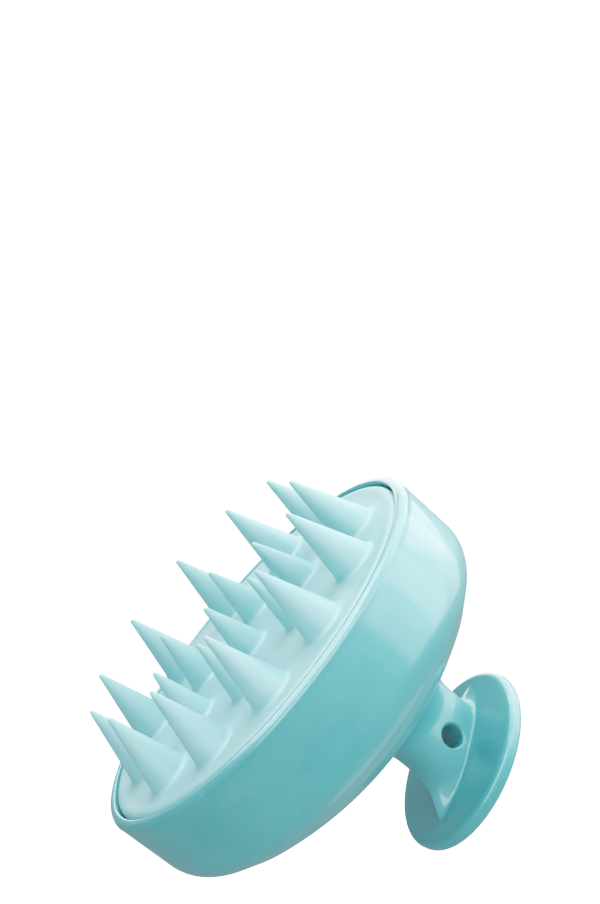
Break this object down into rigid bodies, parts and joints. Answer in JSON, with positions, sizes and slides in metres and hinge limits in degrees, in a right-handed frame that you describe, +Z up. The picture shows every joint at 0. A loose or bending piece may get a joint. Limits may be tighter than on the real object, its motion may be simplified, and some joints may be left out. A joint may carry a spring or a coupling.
{
  "type": "scalp massager brush",
  "caption": "Round palm brush: hollow gloss shell with an off-centre neck, hanging hole and tilted flat knob, over a soft pad of nineteen tapered cones",
  "frame": {"origin": "on the axis of the round body, in the ground plane that the outer cone tips stand on", "axes": "+Z up from the cones to the knob; +X from the body's axis towards the off-centre neck; +Y along the hanging hole"},
  "size_m": [0.0833, 0.0834, 0.07],
  "materials": {
    "shell_gloss": "gloss",
    "cap_gloss": "gloss",
    "plate_matte": "matte",
    "pad_soft": "satin"
  },
  "bodies": {
    "root": {"shell": "shell_gloss", "knob_cap": "cap_gloss", "base_plate": "plate_matte", "pad": "pad_soft"}
  },
  "joints": []
}
